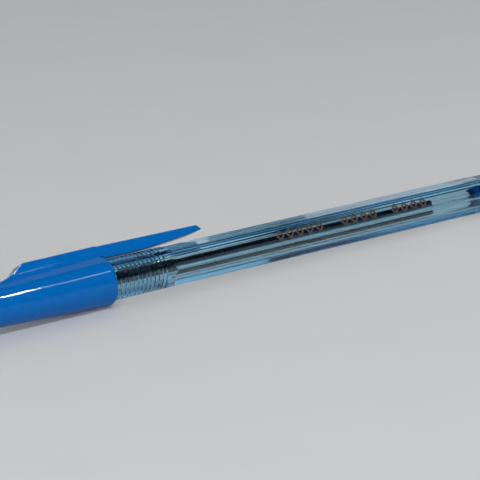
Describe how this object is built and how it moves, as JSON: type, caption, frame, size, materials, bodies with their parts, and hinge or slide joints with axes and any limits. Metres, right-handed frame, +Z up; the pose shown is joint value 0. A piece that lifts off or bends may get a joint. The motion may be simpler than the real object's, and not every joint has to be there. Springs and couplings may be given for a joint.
{
  "type": "capped stick ballpoint pen",
  "caption": "Capped stick ballpoint pen with a clear blue hexagonal barrel, ringed round grip, refill, screwed nose cone, end plug and a pull-off cap with a clip.",
  "frame": {"origin": "below the middle of the capped pen's length, on its axis in Y, at the level of the cap's lowest point", "axes": "+X along the pen towards the tail, +Z up; the cap and writing end are towards -X, a facet of the barrel faces down, and the clip leans 25 degrees from +Z towards +Y"},
  "size_m": [0.146, 0.0098, 0.012],
  "materials": {
    "clear_blue": "gloss",
    "blue_plastic": "gloss",
    "bronze_foil": "satin",
    "plated_metal": "polished",
    "clear_tube": "gloss",
    "ink": "gloss",
    "white_plastic": "satin",
    "brass_metal": "polished",
    "ball_metal": "polished"
  },
  "bodies": {
    "barrel": {"barrel": "clear_blue", "end_plug": "blue_plastic", "foil_stamp": "bronze_foil"},
    "cap": {"cap": "blue_plastic"},
    "clip": {"clip": "blue_plastic"},
    "refill": {"refill_tube": "clear_tube", "ink_column": "ink", "tip_holder": "white_plastic", "writing_tip": "brass_metal"},
    "nose_cone": {"nose_cone": "plated_metal"},
    "ball": {"ball": "ball_metal"}
  },
  "joints": [
    {"name": "cap_pull", "type": "slide", "parent": "barrel", "child": "cap", "axis": [-1, 0, 0], "range_m": [0, 0.06]},
    {"name": "clip_flex", "type": "hinge", "parent": "cap", "child": "clip", "pos_m": [-0.0243, 0.00251, 0.0103], "axis": [0, -0.9063, 0.4226], "range_deg": [-0.5, 6], "stiffness_Nm_per_rad": 0.4},
    {"name": "refill_advance", "type": "slide", "parent": "barrel", "child": "refill", "axis": [-1, 0, 0], "range_m": [0, 0.0024]},
    {"name": "cone_unscrew", "type": "hinge", "parent": "refill", "child": "nose_cone", "pos_m": [-0.042, 0, 0.00493], "axis": [-1, 0, 0], "range_deg": [0, 1080]},
    {"name": "ball_roll", "type": "hinge", "parent": "refill", "child": "ball", "pos_m": [-0.0644, 0, 0.00493], "axis": [0, 1, 0], "continuous": true}
  ],
  "couplings": [
    {"joint": "cone_unscrew", "follows": "refill_advance", "rad_per_m": 7854}
  ]
}
